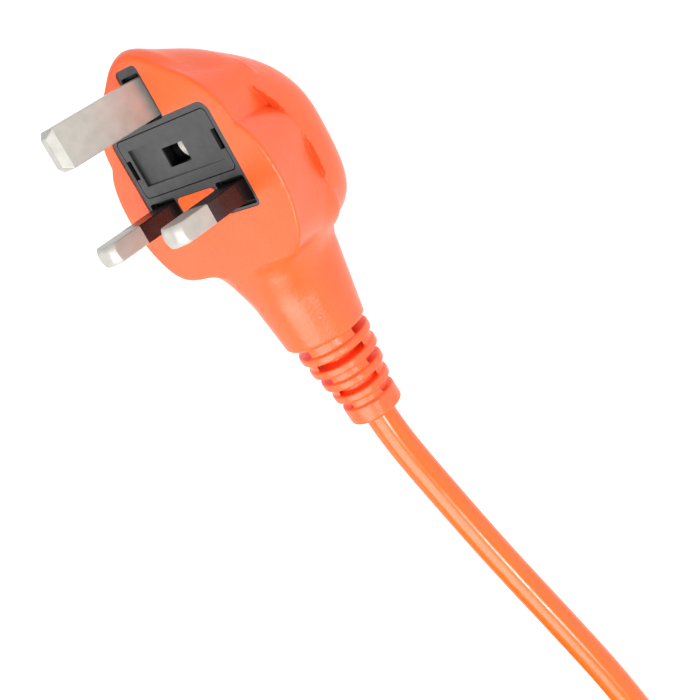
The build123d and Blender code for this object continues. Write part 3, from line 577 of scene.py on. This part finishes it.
def add_moulding():
    """Over-moulding, with a pocket for the insert's block and a shallow one for its tongue."""
    cell = 0.33
    mesh = surface_mesh("plug_moulding", moulding, (-26, -37.5, -26), (26, 32.5, 1), cell,
                        (0, LN_Y, BODY_DEPTH))
    piece = link("plug_moulding", mesh)
    block = [(x, min(y, BRIDGE_TOP)) for x, y in bridge_outline()]
    block = [p for i, p in enumerate(block) if p != block[i - 1]]
    tongue = rounded([(TONGUE_HALF, TONGUE_TOP), (TONGUE_HALF, TONGUE_ROOT), (-TONGUE_HALF, TONGUE_ROOT),
                      (-TONGUE_HALF, TONGUE_TOP)], [CORNER] * 4)
    cut(piece, prism("pocket", block, -BRIDGE_DEPTH, POCKET_TOP))
    cut(piece, prism("tongue_pocket", tongue, -TONGUE_DEPTH, POCKET_TOP))
    return smooth(piece, 40)


def add_relief():
    cell = 0.2
    mesh = surface_mesh("plug_relief", relief, (-9, -21.3, -9), (9, 3, 9), cell,
                        (0, LN_Y + NECK_END, BODY_DEPTH - NECK_DEPTH), RELIEF_TILT)
    return smooth(link("plug_relief", mesh), 50)


# ---------------------------------------------------------------- materials
class Finish:
    """A material's node tree with short names for what the finishes share."""

    def __init__(self, name, colour, roughness, metallic=0.0):
        self.material = bpy.data.materials.new(name)
        self.material.use_nodes = True
        self.tree = self.material.node_tree
        self.shader = self.tree.nodes["Principled BSDF"]
        self.set("Base Color", (*colour, 1.0))
        self.set("Roughness", roughness)
        self.set("Metallic", metallic)
        self.coordinates = self.tree.nodes.new("ShaderNodeTexCoord").outputs["Object"]
        self.height = None

    def set(self, socket, value):
        self.shader.inputs[socket].default_value = value

    def join(self, source, target):
        self.tree.links.new(source, target)

    def noise(self, scale, detail, stretch=(1.0, 1.0, 1.0)):
        mapping = self.tree.nodes.new("ShaderNodeMapping")
        mapping.inputs["Scale"].default_value = stretch
        texture = self.tree.nodes.new("ShaderNodeTexNoise")
        texture.inputs["Scale"].default_value = scale
        texture.inputs["Detail"].default_value = detail
        self.join(self.coordinates, mapping.inputs["Vector"])
        self.join(mapping.outputs["Vector"], texture.inputs["Vector"])
        return texture.outputs["Fac"]

    def spread(self, source, low, high, start=0.3, end=0.7):
        """Maps a texture's middle range to values between low and high."""
        node = self.tree.nodes.new("ShaderNodeMapRange")
        for socket, value in zip(("From Min", "From Max", "To Min", "To Max"), (start, end, low, high)):
            node.inputs[socket].default_value = value
        self.join(source, node.inputs["Value"])
        return node.outputs["Result"]

    def tint(self, source, first, second):
        """Base colour between two colours by a texture."""
        mix = self.tree.nodes.new("ShaderNodeMix")
        mix.data_type = "RGBA"
        mix.inputs["A"].default_value = (*first, 1.0)
        mix.inputs["B"].default_value = (*second, 1.0)
        self.join(self.spread(source, 0.0, 1.0), mix.inputs["Factor"])
        self.join(mix.outputs["Result"], self.shader.inputs["Base Color"])

    def vary_roughness(self, source, low, high):
        self.join(self.spread(source, low, high), self.shader.inputs["Roughness"])

    def bump(self, source, distance, strength=1.0):
        """Adds relief of a height in metres on top of what is there."""
        node = self.tree.nodes.new("ShaderNodeBump")
        node.inputs["Distance"].default_value = distance
        node.inputs["Strength"].default_value = strength
        self.join(source, node.inputs["Height"])
        if self.height:
            self.join(self.height, node.inputs["Normal"])
        self.height = node.outputs["Normal"]
        self.join(self.height, self.shader.inputs["Normal"])

    def soften(self, weight, radius):
        """Light that passes a little way into the plastic."""
        self.set("Subsurface Weight", weight)
        self.set("Subsurface Radius", radius)
        self.set("Subsurface Scale", MM)


RECESS_SHADE_LOW, RECESS_SHADE_HIGH = 23.8, 24.4      # levels between which painted shade in the recesses gives way to a greyer top, a painted sheen
SHADOW_SLANT = (1.0, 0.35, 0.0)              # direction across the edge of the shadow painted on the fuse
SHADOW_EDGE, SHADOW_FADE = 7.3, 0.3           # place of that edge and width of its fade


def shade(colour, factor):
    return tuple(min(1.0, channel * factor) for channel in colour)


def orange_moulding():
    finish = Finish("orange_moulding", (0.92, 0.112, 0.022), 0.33)
    finish.tint(finish.noise(60, 3), (0.91, 0.106, 0.020), (0.93, 0.118, 0.025))
    finish.vary_roughness(finish.noise(160, 4), 0.28, 0.38)
    finish.bump(finish.noise(1700, 2), 0.00010, 0.8)
    finish.bump(finish.noise(420, 2), 0.00005, 0.6)
    finish.soften(0.18, (2.0, 0.4, 0.15))
    return finish.material


def orange_sheath():
    finish = Finish("orange_sheath", (0.97, 0.122, 0.010), 0.18)
    finish.tint(finish.noise(45, 2), (0.96, 0.114, 0.008), (0.98, 0.130, 0.013))
    finish.vary_roughness(finish.noise(300, 3), 0.20, 0.30)
    finish.bump(finish.noise(180, 2), 0.00008, 0.5)
    finish.bump(finish.noise(2400, 1), 0.00001, 0.5)
    finish.soften(0.1, (1.6, 0.5, 0.2))
    return finish.material


def black_insert():
    """Darker, duller plastic down in the recesses as painted shade, and a greyer, shinier top as painted
    sheen.
    """
    finish = Finish("black_insert", (0.030, 0.030, 0.031), 0.45)
    place = finish.tree.nodes.new("ShaderNodeSeparateXYZ")
    finish.join(finish.coordinates, place.inputs["Vector"])
    # Colour and reflection set by height: painted shade down in the recesses, painted sheen on the top
    lit_top = finish.spread(place.outputs["Z"], 0.0, 1.0, RECESS_SHADE_LOW * MM, RECESS_SHADE_HIGH * MM)
    finish.tint(lit_top, (0.003, 0.003, 0.003), (0.024, 0.024, 0.025))
    finish.join(finish.spread(lit_top, 0.15, 0.9, 0.0, 1.0), finish.shader.inputs["Specular IOR Level"])
    finish.vary_roughness(finish.noise(500, 4), 0.40, 0.54)
    finish.bump(finish.noise(2200, 2), 0.00004, 0.5)
    return finish.material


def nickel():
    finish = Finish("nickel_plate", (0.46, 0.45, 0.41), 0.42, metallic=0.4)
    finish.tint(finish.noise(420, 5), (0.42, 0.41, 0.37), (0.49, 0.48, 0.44))
    finish.vary_roughness(finish.noise(260, 5, (1, 1, 0.25)), 0.38, 0.52)
    finish.bump(finish.noise(1200, 4), 0.00002, 0.5)
    return finish.material


def pin_sleeve():
    finish = Finish("pin_sleeve", (0.017, 0.008, 0.009), 0.28)
    finish.tint(finish.noise(200, 3), (0.014, 0.007, 0.008), (0.020, 0.009, 0.010))
    finish.vary_roughness(finish.noise(400, 3), 0.22, 0.36)
    finish.bump(finish.noise(1500, 2), 0.00002, 0.5)
    return finish.material


def fuse_ceramic():
    """Glazed barrel with a painted shadow, as cast by the window's edge, dark over most of what the window
    shows.
    """
    finish = Finish("fuse_body", (0.60, 0.57, 0.52), 0.15)
    slant = finish.tree.nodes.new("ShaderNodeVectorMath")
    slant.operation = "DOT_PRODUCT"
    slant.inputs[1].default_value = SHADOW_SLANT
    finish.join(finish.coordinates, slant.inputs[0])
    # Painted shadow: near-black barrel on one side of a slanted edge, lit ceramic on the other
    lit_part = finish.spread(slant.outputs["Value"], 0.0, 1.0, SHADOW_EDGE * MM, (SHADOW_EDGE + SHADOW_FADE) * MM)
    finish.tint(lit_part, (0.004, 0.004, 0.004), (0.60, 0.57, 0.52))
    finish.vary_roughness(finish.noise(400, 3), 0.12, 0.25)
    finish.bump(finish.noise(1800, 2), 0.00003, 0.5)
    return finish.material


def plain_metal(name, colour, low, high):
    """Metal with its roughness between low and high."""
    finish = Finish(name, colour, low, metallic=1.0)
    finish.tint(finish.noise(180, 4), shade(colour, 0.94), shade(colour, 1.05))
    finish.vary_roughness(finish.noise(350, 4), low, high)
    finish.bump(finish.noise(700, 4), 0.00002, 0.4)
    return finish.material


def plain_plastic(name, colour, low, high, grain=1800, relief_height=0.00003):
    """Moulded plastic with its roughness between low and high, and a grain of a height in metres."""
    finish = Finish(name, colour, low)
    finish.tint(finish.noise(150, 3), shade(colour, 0.93), shade(colour, 1.07))
    finish.vary_roughness(finish.noise(400, 3), low, high)
    finish.bump(finish.noise(grain, 2), relief_height, 0.5)
    return finish.material


def striped_core():
    """Green insulation with a yellow stripe along it."""
    finish = Finish("core_green_yellow", (0.1, 0.35, 0.03), 0.3)
    split = finish.tree.nodes.new("ShaderNodeSeparateXYZ")
    finish.join(finish.coordinates, split.inputs["Vector"])
    side = finish.spread(split.outputs["X"], 0.0, 1.0, -0.0004, -0.0002)
    finish.tint(side, (0.80, 0.62, 0.03), (0.09, 0.33, 0.03))
    finish.vary_roughness(finish.noise(400, 3), 0.25, 0.4)
    finish.bump(finish.noise(1500, 2), 0.00002, 0.4)
    return finish.material


def woven_strap():
    """Dark loop tape: a fuzzy weave of small loops."""
    finish = Finish("strap", (0.03, 0.03, 0.034), 0.9)
    finish.tint(finish.noise(1500, 4), (0.018, 0.018, 0.021), (0.055, 0.055, 0.062))
    finish.bump(finish.noise(1400, 3), 0.0003, 0.8)
    cells = finish.tree.nodes.new("ShaderNodeTexVoronoi")
    cells.inputs["Scale"].default_value = 1300
    finish.join(finish.coordinates, cells.inputs["Vector"])
    finish.bump(cells.outputs["Distance"], 0.0002, 0.6)
    finish.set("Sheen Weight", 0.4)
    return finish.material


def floor_paint():
    """White acrylic sheet that glows a little, as over a light table."""
    finish = Finish("floor", (0.15, 0.15, 0.15), 0.8)
    finish.tint(finish.noise(6, 3), (0.147, 0.147, 0.147), (0.153, 0.153, 0.153))
    finish.set("Emission Color", (1.0, 1.0, 1.0, 1.0))
    finish.set("Emission Strength", 1.0)
    finish.bump(finish.noise(900, 2), 0.00002, 0.2)
    return finish.material


def paint(piece, material):
    piece.data.materials.clear()
    piece.data.materials.append(material)


def paint_nodes():
    """Gives every CAD node that shows the finish of its slot in the record."""
    finishes = {
        "orange_moulding": orange_moulding(),
        "orange_sheath": orange_sheath(),
        "black_carrier": black_insert(),
        "nickel_plate": nickel(),
        "pin_sleeve": pin_sleeve(),
        "strap": woven_strap(),
        "brass": plain_metal("brass", (0.72, 0.50, 0.20), 0.25, 0.4),
        "fuse_metal": plain_metal("fuse_metal", (0.82, 0.80, 0.76), 0.12, 0.25),
        "screw_steel": plain_metal("screw_steel", (0.66, 0.66, 0.66), 0.25, 0.4),
        "fuse_body": fuse_ceramic(),
        "core_brown": plain_plastic("core_brown", (0.16, 0.06, 0.025), 0.25, 0.4),
        "core_blue": plain_plastic("core_blue", (0.03, 0.14, 0.50), 0.25, 0.4),
        "core_green_yellow": striped_core(),
        "black_shell": plain_plastic("black_shell", (0.028, 0.028, 0.030), 0.45, 0.6, 1400, 0.00008),
        "white_shutter": plain_plastic("white_shutter", (0.78, 0.78, 0.75), 0.3, 0.45),
    }
    for part in frame["record"]["subparts"]:
        paint(nodes[part["node"]], finishes[part["material_slot"]])
    return finishes


# ---------------------------------------------------------------- studio
# Metres
LIGHT_TARGET = (0, 0, 0.02)   # just under the plug's face
FLOOR_RADIUS = 3.0
# Steepness of a look upward, and the room's brightness there
WALL_FOOT, WALL_TOP = (0.10, 1.05), (0.30, 0.32)


def add_area(name, place, size, power):
    """Round lamp at a place, turned towards the plug."""
    light = bpy.data.objects.new(name, bpy.data.lights.new(name, "AREA"))
    light.data.shape, light.data.size, light.data.energy = "DISK", size, power
    light.location = place
    light.rotation_euler = (Vector(LIGHT_TARGET) - Vector(place)).to_track_quat("-Z", "Y").to_euler()
    bpy.context.scene.collection.objects.link(light)


def studio_room():
    """White walls low down, so that the floor runs into them, and a dimmer room above."""
    world = bpy.data.worlds.new("studio")
    world.use_nodes = True
    tree = world.node_tree
    direction = tree.nodes.new("ShaderNodeTexCoord")
    height = tree.nodes.new("ShaderNodeSeparateXYZ")
    level = tree.nodes.new("ShaderNodeMapRange")
    level.inputs["From Min"].default_value, level.inputs["To Min"].default_value = WALL_FOOT
    level.inputs["From Max"].default_value, level.inputs["To Max"].default_value = WALL_TOP
    tree.links.new(direction.outputs["Generated"], height.inputs["Vector"])
    tree.links.new(height.outputs["Z"], level.inputs["Value"])
    tree.links.new(level.outputs["Result"], tree.nodes["Background"].inputs["Strength"])
    tree.nodes["Background"].inputs["Color"].default_value = (1.0, 1.0, 1.0, 1.0)
    return world


def add_studio():
    mesh = bmesh.new()
    bmesh.ops.create_circle(mesh, cap_ends=True, radius=FLOOR_RADIUS, segments=64)
    floor = link("floor", finished_mesh("floor", mesh))
    paint(floor, floor_paint())
    bpy.context.scene.world = studio_room()
    add_area("key", place=(0.16, -0.28, 0.93), size=1.0, power=14.0)
    add_area("side", place=(-0.85, -0.25, 0.65), size=0.8, power=1.9)
    add_area("spark", place=(0.80, -0.32, 0.50), size=0.10, power=3.4)
    bpy.context.scene.view_settings.view_transform = "Standard"


# ---------------------------------------------------------------- assembly
add_camera()
finishes = paint_nodes()

cord = add_cord()
paint(cord, finishes["orange_sheath"])
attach(cord, "lead")
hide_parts("cord_lead", "cord_coil", "cord_tail")
strap = add_tie()
paint(strap, finishes["strap"])
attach(strap, "lead")
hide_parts("cord_tie")

body = add_moulding()
relief_piece = add_relief()
for piece in (body, relief_piece):
    paint(piece, finishes["orange_moulding"])
    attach(piece, "lead")
    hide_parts("plug_body")

add_studio()
